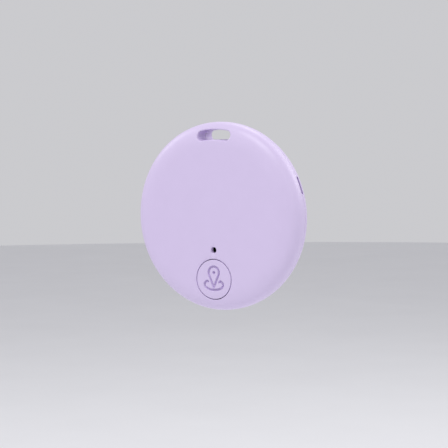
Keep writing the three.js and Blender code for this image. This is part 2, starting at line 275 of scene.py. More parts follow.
def tube(route, radius, segments=20, steps=8):
    """A round wire along a smooth curve through the points of route."""
    points = [Vector(point) for point in route]
    ends = [2 * points[0] - points[1], *points, 2 * points[-1] - points[-2]]
    path = []
    for a, b, c, d in zip(ends, ends[1:], ends[2:], ends[3:]):
        for t in (step / steps for step in range(steps)):
            square = 2 * a - 5 * b + 4 * c - d
            cubic = 3 * b - a - 3 * c + d
            path.append(b + (c - a) * t / 2 + square * t * t / 2 + cubic * t**3 / 2)
    path.append(points[-1])
    bm = bmesh.new()
    before = None
    for i, point in enumerate(path):
        way = path[min(i + 1, len(path) - 1)] - path[max(i - 1, 0)]
        turn = way.to_track_quat("Z", "Y").to_matrix().to_4x4()
        made = bmesh.ops.create_circle(
            bm,
            cap_ends=i in (0, len(path) - 1),
            segments=segments,
            radius=radius,
            matrix=Matrix.Translation(point) @ turn,
        )
        ring = {e for v in made["verts"] for e in v.link_edges if e.other_vert(v) in made["verts"]}
        ring = [e for e in ring if (e.verts[0].co - e.verts[1].co).length < radius]
        if before:
            bmesh.ops.bridge_loops(bm, edges=before + ring)
        before = ring
    bmesh.ops.recalc_face_normals(bm, faces=bm.faces)
    return bm


def gather(*parts):
    """Several closed meshes as one."""
    whole = bmesh.new()
    for bm in parts:
        mesh = bpy.data.meshes.new("part")
        bm.to_mesh(mesh)
        bm.free()
        whole.from_mesh(mesh)
        bpy.data.meshes.remove(mesh)
    return whole


def blob(size, centre):
    """A ball squashed to size, given as its three half widths."""
    bm = bmesh.new()
    place = Matrix.Translation(centre) @ Matrix.Diagonal((*size, 1))
    bmesh.ops.create_uvsphere(bm, u_segments=24, v_segments=12, radius=1, matrix=place)
    return bm


def notch():
    """The pocket across the seam that a coin goes into. It slants back as it goes in."""
    pocket = block(NOTCH_SIZE, (0, 0, 0), soft=0.1)
    place = Matrix.Rotation(-NOTCH_ANGLE, 4, "Y") @ Matrix.Translation((RADIUS, SEAM_Y, 0))
    slant = Matrix.Rotation(-NOTCH_SLANT, 4, "Z")
    bmesh.ops.transform(pocket, matrix=place @ slant, verts=pocket.verts)
    return pocket


def carve(bm, tool, operation="DIFFERENCE"):
    """The solid bm with the solid tool cut away from it, or joined to it. Both are used up."""
    objects = []
    for source in (bm, tool):
        obj = bpy.data.objects.new("carving", bpy.data.meshes.new("carving"))
        source.to_mesh(obj.data)
        source.free()
        bpy.context.scene.collection.objects.link(obj)
        objects.append(obj)
    modifier = objects[0].modifiers.new("carving", "BOOLEAN")
    modifier.operation = operation
    modifier.solver = "EXACT"
    modifier.object = objects[1]
    result = bmesh.new()
    result.from_object(objects[0], bpy.context.evaluated_depsgraph_get())
    for obj in objects:
        mesh = obj.data
        bpy.data.objects.remove(obj)
        bpy.data.meshes.remove(mesh)
    bmesh.ops.remove_doubles(result, verts=result.verts, dist=SLIVER)
    bmesh.ops.dissolve_degenerate(result, edges=result.edges, dist=SLIVER)
    gaps = [edge for edge in result.edges if len(edge.link_faces) == 1]
    if gaps:
        bmesh.ops.holes_fill(result, edges=gaps)
    return result


def slot_wall(y0, y1):
    """The wall round the slot, kept just inside the outer skin."""
    inset = 0.15
    half = HALF - inset
    inside = revolve(
        [(0, -half)] + edge_curve(RADIUS - inset, half, EDGE, -half, half, 48) + [(0, half)]
    )
    return carve(slot_bar(SLOT_WALL, y0, y1), inside, "INTERSECT")


def from_slot(x, z):
    """How far (x, z) is outside the slot's outline, and the direction straight out of it."""
    turn = max(-SLOT_TURN, min(SLOT_TURN, math.atan2(x, z)))
    away = Vector((x, z)) - SLOT_RADIUS * Vector((math.sin(turn), math.cos(turn)))
    return away.length - SLOT_HALF, away.normalized()


def from_circle(centre_z, radius):
    """The same for a round hole."""

    def measure(x, z):
        away = Vector((x, z - centre_z))
        return away.length - radius, away.normalized()

    return measure


def on_skin(v, side):
    """Whether a point lies on the outer skin. side is -1 for the front and 1 for the back."""
    return abs(v.co.y - side * skin_depth(math.hypot(v.co.x, v.co.z))) < ON_SKIN


def refine(bm, side, outline, reach, levels):
    """Splits the outer skin's faces near a hole's outline, and lays the new points on the skin."""

    def close():
        return {
            v
            for v in bm.verts
            if on_skin(v, side) and abs(outline(v.co.x, v.co.z)[0]) < reach
        }

    for _ in range(levels):
        chosen = close()
        edges = [e for e in bm.edges if chosen.issuperset(e.verts)]
        bmesh.ops.subdivide_edges(bm, edges=edges, cuts=1, use_grid_fill=True)
        for v in close():
            v.co.y = side * skin_depth(math.hypot(v.co.x, v.co.z))
    bmesh.ops.triangulate(bm, faces=bm.faces)


def soften(bm, side, outline, radius):
    """Rounds over the sharp edge where a hole comes out through the outer skin."""
    for v in bm.verts:
        away, outward = outline(v.co.x, v.co.z)
        if away < radius and on_skin(v, side):
            turn = max(0, away) / radius * math.pi / 2
            shift = outward * (radius * (1 - math.cos(turn)) - away)
            v.co += Vector((shift.x, -side * radius * (1 - math.sin(turn)), shift.y))


# ---- materials ----
def linear(colour):
    """An sRGB hex colour as the shader's linear one."""
    parts = [int(colour[i : i + 2], 16) / 255 for i in (0, 2, 4)]
    return (*(c / 12.92 if c <= 0.04045 else ((c + 0.055) / 1.055) ** 2.4 for c in parts), 1)


def node(tree, kind, inputs=None, **settings):
    """Adds a node. An input is a plain value, or another node's output to link."""
    made = tree.nodes.new(kind)
    for key, value in settings.items():
        setattr(made, key, value)
    for key, value in (inputs or {}).items():
        if isinstance(value, bpy.types.NodeSocket):
            tree.links.new(value, made.inputs[key])
        else:
            made.inputs[key].default_value = value
    return made


def finish(name, light, dark, rough, grain, depth, stretch=(1, 1, 1), patch=4.0, **shader):
    """A finish: colour drifts from light to dark in patches, roughness over its range, on a grain.

    grain and patch are sizes in millimetres, depth is the grain's height in micrometres, and
    stretch draws the grain out along an axis, as brushing does.
    """
    material = bpy.data.materials.new(name)
    material.use_nodes = True
    tree = material.node_tree
    tree.nodes.clear()
    place = node(tree, "ShaderNodeTexCoord").outputs["Object"]
    drawn = node(tree, "ShaderNodeMapping", {"Vector": place, "Scale": stretch}).outputs["Vector"]
    fine = node(
        tree,
        "ShaderNodeTexNoise",
        {"Vector": drawn, "Scale": 1 / (grain * MM), "Detail": 3.0, "Roughness": 0.6},
    )
    broad = node(
        tree,
        "ShaderNodeTexNoise",
        {"Vector": place, "Scale": 1 / (patch * MM), "Detail": 4.0, "Roughness": 0.55},
    )
    blend = node(
        tree,
        "ShaderNodeMix",
        {"Factor": broad.outputs["Fac"], "A": linear(light), "B": linear(dark)},
        data_type="RGBA",
    )
    both = node(
        tree,
        "ShaderNodeMath",
        {0: fine.outputs["Fac"], 1: broad.outputs["Fac"]},
        operation="ADD",
    )
    roughness = node(
        tree,
        "ShaderNodeMapRange",
        {
            "Value": both.outputs[0],
            "From Min": 0.6,
            "From Max": 1.4,
            "To Min": rough[0],
            "To Max": rough[1],
        },
    )
    bump = node(
        tree,
        "ShaderNodeBump",
        {"Height": fine.outputs["Fac"], "Strength": 1.0, "Distance": depth * MM * MM},
    )
    surface = node(
        tree,
        "ShaderNodeBsdfPrincipled",
        {
            "Base Color": blend.outputs["Result"],
            "Roughness": roughness.outputs["Result"],
            "Normal": bump.outputs["Normal"],
            **{key.replace("_", " "): value for key, value in shader.items()},
        },
    )
    node(tree, "ShaderNodeOutputMaterial", {"Surface": surface.outputs["BSDF"]})
    return material


# Grain sizes are in millimetres. Tool texture, rolling and drawing lines, and fired or pressed
# grain are 0.01 to 0.05 mm on the real thing. That is too fine to show, so they are drawn coarser,
# at 0.06 to 0.15 mm.

# ABS moulded in a spark-eroded tool: an even satin with soft, broad highlights. The tool's texture
# of about 0.03 mm is drawn coarser.
LAVENDER = finish("moulded_lavender_abs", "d8c9eb", "d4c5e7", (0.34, 0.42), 0.12, 0.8, IOR=1.54)
# Solder mask over glass-epoxy laminate: a smooth, slightly glossy green that lies in soft ripples.
MASK = finish("green_solder_mask", "1f5a3e", "17472f", (0.22, 0.34), 0.3, 3, IOR=1.5)
# The same mask where copper runs beneath it: a lighter green, as smooth as the rest.
TRACK_MASK = finish("solder_mask_over_copper", "2b7350", "225f41", (0.22, 0.34), 0.3, 3, IOR=1.5)
# The laminate's sawn edge: pale, dull and streaky along the glass cloth.
LAMINATE = finish("sawn_glass_epoxy_laminate", "b9b685", "8f9565", (0.6, 0.8), 0.1, 12, (1, 4, 1))
# Glass-filled nylon, moulded: black and dull, with a fine grain that is drawn coarser.
BLACK_NYLON = finish("moulded_black_nylon", "232326", "19191b", (0.5, 0.65), 0.08, 4, IOR=1.53)
# White polypropylene, moulded: waxy and faintly uneven, with the tool's texture drawn coarser.
WHITE_TRAY = finish(
    "moulded_white_polypropylene", "eeece6", "e2dfd8", (0.4, 0.55), 0.15, 3, IOR=1.49
)
# Black polypropylene, moulded: a softer, greyer black than the nylon.
GASKET = finish("moulded_black_polypropylene", "2c2c2f", "202022", (0.4, 0.55), 0.12, 3, IOR=1.49)
# Nickel-plated spring steel, rolled: bright, with lines along the strip that are drawn coarser.
SPRING = finish(
    "rolled_nickel_plated_steel",
    "d0d1d2",
    "b4b6b8",
    (0.22, 0.36),
    0.06,
    2,
    (0.15, 1, 1),
    Metallic=1.0,
)
# Stainless steel, pressed: drawn smooth and lightly scuffed, with its lines drawn coarser.
CELL_STEEL = finish(
    "pressed_stainless_steel", "cfd0d2", "b2b4b7", (0.2, 0.34), 0.09, 2, (1, 1, 0.12), Metallic=1.0
)
# Sheet brass, rolled: warm and slightly tarnished in patches, with its lines drawn coarser.
BRASS = finish(
    "rolled_sheet_brass", "d8b25e", "b98f42", (0.25, 0.42), 0.08, 2, (0.2, 1, 1), Metallic=1.0
)
# Piezo ceramic, sintered: pale and chalky, with its grain drawn coarser.
CERAMIC = finish("silvered_piezo_ceramic", "dcd8cc", "c9c5ba", (0.45, 0.6), 0.1, 4, IOR=1.6)
# Silver paste, printed and fired: a frosted, faintly warm metal, with its grain drawn coarser.
SILVER = finish("fired_silver_electrode", "dcdcd8", "c6c6c2", (0.35, 0.55), 0.08, 5, Metallic=1.0)
# Foam tape: dark, dull, full of small pores.
FOAM = finish("black_foam_tape", "333336", "1d1d1f", (0.85, 0.98), 0.25, 60, IOR=1.45)
# PVC insulation, extruded: coloured and slightly shiny, with a slow ripple.
RED_PVC = finish("extruded_red_pvc", "c22a2a", "a81f1f", (0.3, 0.42), 0.2, 3, IOR=1.53)
BLACK_PVC = finish("extruded_black_pvc", "242427", "18181a", (0.3, 0.42), 0.2, 3, IOR=1.53)
# Barium titanate, fired: tan and dull, with its grain drawn coarser.
TAN_CERAMIC = finish("fired_tan_ceramic", "b3946b", "957a55", (0.45, 0.6), 0.08, 3, IOR=1.6)
# Alumina, glazed black: smooth and fairly glossy.
DARK_CERAMIC = finish("glazed_black_ceramic", "1d1e21", "141517", (0.25, 0.4), 0.08, 2, IOR=1.6)
# Glass, printed over a resistor and fired: black, and the glossiest of the small parts.
OVERCOAT = finish("resistor_glass_overcoat", "1b1c20", "131316", (0.2, 0.35), 0.08, 2, IOR=1.5)
# Ferrite powder, pressed and fired: a dull dark grey, with its grain drawn coarser.
FERRITE = finish("pressed_ferrite", "3b3c40", "2b2c2f", (0.5, 0.7), 0.08, 8, IOR=1.6)
# Tin-silver solder, reflowed: bright and slightly frosted, with its crystals drawn coarser.
SOLDER = finish("reflowed_tin_solder", "d6d7d6", "b9bbba", (0.25, 0.42), 0.07, 4, Metallic=1.0)
# Gold flash over nickel on the bare pads: warm and even, with the plating's grain drawn coarser.
GOLD = finish("gold_flashed_pads", "e2b75f", "cf9f49", (0.22, 0.35), 0.08, 2, Metallic=1.0)
# Cast epoxy over the LED: milky yellow and glossy.
LED_RESIN = finish("cast_led_resin", "f3efd4", "e9e2ba", (0.12, 0.25), 0.3, 1, IOR=1.5)
# Manganese dioxide powder, pressed: a sooty black with no shine.
MANGANESE = finish("pressed_manganese_dioxide", "1d1d1f", "131314", (0.8, 0.95), 0.1, 20, IOR=1.5)

# ---- what is on the board ----
# A component's place is [x, z] and, where it isn't square to the board, its turn in degrees.
RADIO = (-5.6, -11.4)
CRYSTAL = (-10.8, -8.7, 45)
INDUCTOR = (5.4, -11.3)
DRIVER = (10.6, -8.6, -45)
# A chip's size is its width between its terminals, height and length, and then its slot and finish.
CAPACITOR = ((1.6, 0.6, 0.8), ("capacitor_ceramic", TAN_CERAMIC))
RESISTOR = ((1.6, 0.45, 0.8), ("resistor_ceramic", OVERCOAT))
CHIPS = (
    ("capacitor_1", (-1.6, -10.2, 90), *CAPACITOR),
    ("capacitor_2", (-0.2, -10.2, 90), *CAPACITOR),
    ("capacitor_3", (1.2, -10.2, 90), *CAPACITOR),
    ("capacitor_4", (-5.6, -15.6, 0), *CAPACITOR),
    ("capacitor_5", (-13.6, -5.2, 60), *CAPACITOR),
    ("capacitor_6", (13.4, -5.4, -60), *CAPACITOR),
    ("resistor_1", (-2.4, -16.2, 0), *RESISTOR),
    ("resistor_2", (5.2, -15.4, 0), *RESISTOR),
    ("resistor_3", (1.8, -16.2, 0), *RESISTOR),
    ("status_led", (0, -7.7, 0), (1.6, 0.6, 0.8), ("led_resin", LED_RESIN)),
)
# Each track is on the back, 1, or on the front, -1, and runs through its [x, z] points.
TRACKS = (
    (1, ((-3.6, -10.4), (-2.6, -9.4), (-1.6, -9.3), (1.2, -9.3), (3.9, -10.4))),
    (1, ((-3.6, -11.9), (-1.6, -11.1), (-0.2, -11.1), (1.2, -11.1), (3.9, -12.0))),
    (1, ((-7.6, -10.4), (-8.6, -9.6), (-9.8, -9.6))),
    (1, ((-7.6, -9.9), (-9.4, -8.0), (-12.2, -7.2), (-13.2, -5.9))),
    (1, ((-14.0, -4.5), (-15.6, -2.4), (-16.4, 1.0), (-16.2, 5.2), (-14.8, 9.0))),
    (1, ((-5.1, -13.4), (-4.8, -15.6))),
    (1, ((-6.6, -13.4), (-6.4, -15.6))),
    (
        1,
        ((-6.4, -15.6), (-8.6, -14.8), (-11.4, -12.8), (-14.2, -9.8), (-16.4, -6.0), (-17.2, -2.4)),
    ),
    (1, ((-3.9, -13.4), (-3.2, -14.8), (-3.2, -16.2))),
    (1, ((-1.6, -16.2), (1.0, -16.2))),
    (1, ((2.6, -16.2), (4.4, -15.4))),
    (1, ((6.0, -15.4), (7.2, -14.0), (6.7, -12.8))),
    (1, ((6.7, -10.4), (8.4, -9.2), (9.4, -8.8))),
    (1, ((11.6, -7.4), (12.6, -6.2), (13.0, -6.1))),
    (1, ((13.8, -4.7), (15.2, -2.2), (16.6, 0.8), (16.2, 3.2), (14.8, 4.6))),
    (1, ((11.8, -9.8), (14.0, -9.6), (16.6, -5.2), (17.4, -1.0), (17.0, 4.6), (15.2, 8.2))),
    (-1, ((-2.1, -8.3), (-3.4, -9.0), (-3.8, -11.4), (-2.8, -12.2))),
    (-1, ((2.1, -8.3), (3.4, -9.0), (3.8, -11.4), (2.8, -12.2))),
    (
        -1,
        ((-2.8, -15.6), (-5.6, -15.0), (-9.8, -11.6), (-13.8, -7.2), (-16.4, -1.8), (-15.0, 3.6)),
    ),
    (-1, ((2.8, -15.6), (5.6, -15.0), (9.8, -11.6), (13.8, -7.2), (16.8, -1.8), (15.4, 5.6))),
)
VIAS = ((-3.9, -8.9), (3.9, -8.9), (-12.0, -12.4), (12.2, -11.8), (-17.2, -2.4), (15.2, 8.2))
VIAS += ((-14.8, 9.0), (8.6, -14.9), (-8.2, -15.4), (0.2, -12.4), (11.4, -13.2))
# The sounder's leads run from the sounder to the board's front, through these [x, y, z] points.
RED_ROUTE = (
    (1.4, -1.5, -1.7),
    (1.5, -1.32, -3.2),
    (1.7, -1.3, -5.6),
    (2.0, -0.95, -7.3),
    (2.1, -0.6, -8.3),
)
BLACK_ROUTE = (
    (-1.5, -1.7, -3.9),
    (-1.55, -1.4, -4.8),
    (-1.7, -1.28, -5.9),
    (-2.0, -0.95, -7.3),
    (-2.1, -0.6, -8.3),
)


# ---- pieces ----
def piece(name, bm, body, materials, replaced=(), paint=None, sharp=35):
    """Puts a finished mesh in place as one piece of the tag, shaded smooth up to a sharp angle."""
    bmesh.ops.transform(bm, matrix=PLACE, verts=bm.verts)
    for face in bm.faces:
        face.smooth = True
        face.material_index = paint(face) if paint else 0
    for edge in bm.edges:
        edge.smooth = len(edge.link_faces) != 2 or edge.calc_face_angle(0) < math.radians(sharp)
    mesh = bpy.data.meshes.new(name)
    bm.to_mesh(mesh)
    bm.free()
    for material in materials:
        mesh.materials.append(material)
    obj = bpy.data.objects.new(name, mesh)
    bpy.context.scene.collection.objects.link(obj)
    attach(obj, body)
    if replaced:
        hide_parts(*replaced)
    return obj


def seam_corner(side):
    """The rim's small rounded corner at the seam, from the outer skin inwards."""
    y = SEAM_Y + side * NEAR / 2
    return [
        (
            RADIUS - SEAM_SOFT + SEAM_SOFT * math.cos(turn),
            y + side * SEAM_SOFT * (1 - math.sin(turn)),
        )
        for turn in (math.pi / 2 * step / 4 for step in range(5))
    ]


def front_shell():
    """The half with the slot, the light hole, the button's hole and the stakes for the board."""
    bore = RADIUS - RIM_WALL
    step_y = SEAM_Y - LIP_REACH - 0.1
    seam_y = SEAM_Y - NEAR / 2
    bm = revolve(
        face_rings(RADIUS - EDGE, -HALF)
        + edge_curve(RADIUS, HALF, EDGE, -HALF, seam_y - SEAM_SOFT, 30)
        + seam_corner(-1)
        + [(bore + 0.05, seam_y), (bore + 0.05, step_y)]
        + edge_curve(bore, INNER, EDGE - RIM_WALL, step_y, -INNER, 12)
        + [(0, -INNER)],
    )
    outlines = (
        (from_slot, SLOT_SOFT, 3),
        (from_circle(BUTTON_Z, BUTTON_RADIUS + BUTTON_GAP), SMALL_SOFT, 3),
        (from_circle(PORT_Z, PORT_RADIUS), SMALL_SOFT, 3),
    )
    for outline, radius, levels in outlines:
        refine(bm, -1, outline, radius + FINE_MARGIN, levels)
    bm = carve(bm, slot_wall(-HALF, seam_y - WALL_SET_BACK), "UNION")
    for x, z in STAKES:
        bm = carve(bm, rod(STAKE_RADIUS, -INNER - 0.3, BOARD_FRONT - NEAR, x, z), "UNION")
        bm = carve(bm, rod(STAKE_PIN, -1.0, BOARD_BACK + 0.3, x, z, 32), "UNION")
    bm = carve(bm, slot_bar(0, -9, 9))
    bm = carve(bm, rod(BUTTON_RADIUS + BUTTON_GAP, -9, 0, 0, BUTTON_Z, 192))
    bm = carve(bm, rod(PORT_RADIUS, -9, -1, 0, PORT_Z, 96))
    bm = carve(bm, notch())
    for outline, radius, _ in outlines:
        soften(bm, -1, outline, radius)
    piece("front_shell_moulding", bm, "case", [LAVENDER], ["front_shell"])

    heads = bmesh.new()
    for x, z in STAKES:
        made = bmesh.ops.create_uvsphere(heads, u_segments=32, v_segments=16, radius=STAKE_HEAD)
        dome = made["verts"]
        bmesh.ops.scale(heads, verts=dome, vec=(1, 0.36, 1))
        bmesh.ops.translate(heads, verts=dome, vec=(x, BOARD_BACK + 0.34, z))
    piece("melted_stake_heads", heads, "case", [LAVENDER])


def rear_shell():
    """The half with the lip, the rib round the cell and the struts that hold the board down."""
    bore = RADIUS - RIM_WALL - FIT - LIP
    lip_outer = bore + LIP
    seam_y = SEAM_Y + NEAR / 2
    lip_y = SEAM_Y - LIP_REACH
    bm = revolve(
        [(0, INNER)]
        + edge_curve(bore, INNER, EDGE - (RADIUS - bore), INNER, lip_y, 14)[:-1]
        + [(bore, lip_y), (lip_outer - 0.2, lip_y), (lip_outer, lip_y + 0.3), (lip_outer, seam_y)]
        + seam_corner(1)[::-1]
        + edge_curve(RADIUS, HALF, EDGE, seam_y + SEAM_SOFT, HALF, 30)
        + face_rings(RADIUS - EDGE, HALF)[::-1],
    )
    refine(bm, 1, from_slot, SLOT_SOFT + FINE_MARGIN, 3)
    lip_break = block((12.8, 3, 12), (0, seam_y - 1.5, 16))
    bm = carve(bm, lip_break)
    bm = carve(bm, slot_wall(seam_y + WALL_SET_BACK, HALF), "UNION")
    bm = carve(bm, slot_bar(0, -9, 9))
    bm = carve(bm, notch())
    soften(bm, 1, from_slot, SLOT_SOFT)
    piece("rear_shell_moulding", bm, "cover", [LAVENDER], ["rear_shell"])

    low, high = 1.1, INNER + 0.2
    section = [(10.3, high), (10.3, low + 0.1), (10.4, low)]
    section += [(10.8, low), (10.9, low + 0.1), (10.9, high)]
    rib = revolve(section, z=CELL_Z, closed=True)
    rib = carve(rib, block((7, 4, 5.2), (10.5, 1.5, CELL_Z)))
    piece("cell_rib", rib, "cover", [LAVENDER])

    posts = bmesh.new()
    foot, root = BOARD_BACK + NEAR, INNER + 0.3
    for x, z in STRUTS:
        middle = Matrix.Translation((x, (foot + root) / 2, z))
        bmesh.ops.create_cone(
            posts,
            cap_ends=True,
            segments=48,
            radius1=1.05,
            radius2=0.85,
            depth=root - foot,
            matrix=middle @ Matrix.Rotation(math.pi / 2, 4, "X"),
        )
    piece("board_struts", posts, "cover", [LAVENDER])


def icon_lines():
    """A map pin over an open ring, as chains of points in the button's own face."""
    head, head_z, tip_z = 1.33, 1.53, -1.8
    spread = math.asin(head / (head_z - tip_z))
    pin = [
        (head * math.cos(turn), head_z + head * math.sin(turn))
        for turn in np.linspace(-spread, math.pi + spread, 28)
    ]
    ring = [
        (2.4 * math.cos(turn), -1.17 + 1.16 * math.sin(turn))
        for turn in np.linspace(math.radians(-222), math.radians(46), 40)
    ]
    ring = [(-1.5, -0.5), *ring, (1.42, -0.6)]
    return [pin + [(0, tip_z), pin[0]], ring], [[(0, head_z - 0.01), (0, head_z + 0.01)]]


def groove_depth(x, z, chains, width, depth):
    """How deep the icon is pressed in at each point: flat-bottomed grooves with soft sides."""
    nearest = np.full(len(x), 9.0)
    for chain in chains:
        for (ax, az), (bx, bz) in zip(chain, chain[1:]):
            run, rise = bx - ax, bz - az
            along = ((x - ax) * run + (z - az) * rise) / (run**2 + rise**2)
            along = np.clip(along, 0, 1)
            nearest = np.minimum(nearest, np.hypot(x - ax - along * run, z - az - along * rise))
    side = np.clip((nearest - width / 2 + 0.08) / 0.16, 0, 1)
    return depth * (1 - side * side * (3 - 2 * side))


def button():
    """The push button, its face following the skin, with the icon pressed in and ears behind."""
    rim = BUTTON_RADIUS - SMALL_SOFT
    profile = face_rings(rim, -HALF, 0.05)
    for step in range(7):
        turn = math.pi / 2 * step / 6
        round_over = SMALL_SOFT * math.sin(turn), SMALL_SOFT * (1 - math.cos(turn))
        profile.append((rim + round_over[0], -HALF + round_over[1]))
    profile += [(BUTTON_RADIUS, BUTTON_BOTTOM - 0.1), (BUTTON_RADIUS - 0.1, BUTTON_BOTTOM)]
    profile += [(1.0, BUTTON_BOTTOM), (1.0, -1.87), (0.95, -1.82), (0, -1.82)]
    bm = revolve(profile, z=BUTTON_Z, turns=320)
    face = [v for v in bm.verts if v.co.y < BUTTON_BOTTOM - 0.5]
    x, z = np.array([(v.co.x, v.co.z - BUTTON_Z) for v in face]).T
    lines, dot = icon_lines()
    pressed = np.maximum(
        groove_depth(x, z, lines, ICON_WIDTH, ICON_DEPTH),
        groove_depth(x, z, dot, ICON_DOT, ICON_DEPTH),
    )
    for v, deep in zip(face, pressed):
        v.co.y += HALF - skin_depth(math.hypot(v.co.x, v.co.z)) + deep
    piece("button_moulding", bm, "button", [LAVENDER], ["button_cap"])

    reach = BUTTON_RADIUS + 1.1
    ears = block((2 * reach, 0.4, 3.0), (0, -INNER + 0.28, BUTTON_Z + 0.2), soft=0.1)
    piece("button_ears", ears, "button", [LAVENDER])


def foam_pad():
    """The pad in the rear half that keeps the cell from rattling."""
    radius, front, back = 4.5, 2.33, 2.48
    pad = rounded([(0, front), (radius, front), (radius, back), (0, back)], 0.04)
    pad = revolve(pad, z=CELL_Z, turns=96)
    piece("foam_rattle_pad", pad, "cover", [FOAM], ["foam_pad"])


def push_switch():
    """The switch under the button: its housing, snap dome, stem and clip."""
    half, top, bottom = SWITCH_HALF, SWITCH_TOP, -0.42
    base = block((2 * half, bottom - top, 2 * half), (0, (top + bottom) / 2, BUTTON_Z), soft=0.08)
    base = carve(base, rod(1.7, top - 1, -0.66, 0, BUTTON_Z, 64))
    piece("switch_housing", base, "case", [BLACK_NYLON], ["switch_base"])

    reach, rise, sheet, foot = 1.55, 0.28, 0.07, -0.68
    arch = [(reach * i / 12, foot - rise * (1 - (i / 12) ** 2)) for i in range(13)]
    dome = revolve([(r, y - sheet) for r, y in arch] + arch[::-1], z=BUTTON_Z, turns=96)
    snap = piece("switch_snap_dome", dome, "case", [SPRING], ["switch_dome"])
    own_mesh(snap)

    stem = [(0, -1.7), (0.95, -1.7), (0.95, -1.18), (1.4, -1.18), (1.4, -1.05), (0, -1.05)]
    plunger = revolve(rounded(stem, 0.08), z=BUTTON_Z, turns=96)
    piece("switch_stem", plunger, "plunger", [BLACK_NYLON], ["switch_plunger"])

    middle, side = top - 0.095, half + 0.095
    legs = strip(
        [(-side, -0.5), (-side, middle), (side, middle), (side, -0.5)], 0.15, 2.4, BUTTON_Z, 0.18
    )
    plate = block((2 * half, 0.15, 2 * half), (0, middle, BUTTON_Z), soft=0.03)
    cover = carve(carve(plate, legs, "UNION"), rod(1.08, -3, 0, 0, BUTTON_Z))
    piece("switch_clip", cover, "case", [SPRING], ["switch_cover"])


def main_board():
    """The horseshoe board round the cell, with its tracks, vias and bare pads."""
    bm = rod(BOARD_RADIUS, BOARD_FRONT, BOARD_BACK, 0, 0, TURNS)
    bm = carve(bm, rod(BOARD_OPENING, -2, 2, 0, CELL_Z, 192))
    bm = carve(bm, block((12.8, 4, 18), (0, 0, 21)))
    for x, z in STAKES:
        bm = carve(bm, rod(0.62, -2, 2, x, z, 32))
    piece(
        "board_laminate",
        bm,
        "case",
        [LAMINATE, MASK],
        ["main_board"],
        lambda face: int(abs(face.normal.y) > 0.9),
    )

    tracks = []
    for side, route in TRACKS:
        y = BOARD_BACK if side > 0 else BOARD_FRONT
        for (ax, az), (bx, bz) in zip(route, route[1:]):
            turn = math.atan2(az - bz, bx - ax)
            length = math.hypot(bx - ax, bz - az)
            middle = ((ax + bx) / 2, y, (az + bz) / 2)
            tracks.append(block((length, 0.03, TRACK_WIDTH), middle, turn))
            tracks.append(rod(TRACK_WIDTH / 2 - 0.001, y - 0.014, y + 0.014, bx, bz, 16))
    piece("masked_copper_tracks", gather(*tracks), "case", [TRACK_MASK])

    pads = [block((3.2, 0.03, 3.2), (-12.9, BOARD_FRONT, CELL_Z), soft=0.01)]
    pads.append(block((3.2, 0.03, 3.2), (13.2, BOARD_BACK, CELL_Z), soft=0.01))
    for x, z in VIAS:
        pads.append(rod(0.32, BOARD_FRONT - 0.02, BOARD_BACK + 0.02, x, z, 24))
    low, high = BOARD_BACK - 0.01, BOARD_BACK + 0.02
    land_section = [(0.75, low), (1.15, low), (1.15, high), (0.75, high)]
    for x, z in STAKES:
        land = revolve(land_section, turns=48, closed=True)
        bmesh.ops.translate(land, verts=land.verts, vec=(x, 0, z))
        pads.append(land)
    piece("gold_flashed_lands", gather(*pads), "case", [GOLD])


def placed(x, z, turn, front, reach):
    """The points reach either way along a component from its middle, at the board's surface."""
    along = Matrix.Rotation(turn, 4, "Y") @ Vector((reach, 0, 0))
    middle = Vector((x, BOARD_FRONT if front else BOARD_BACK, z))
    return middle + along, middle - along


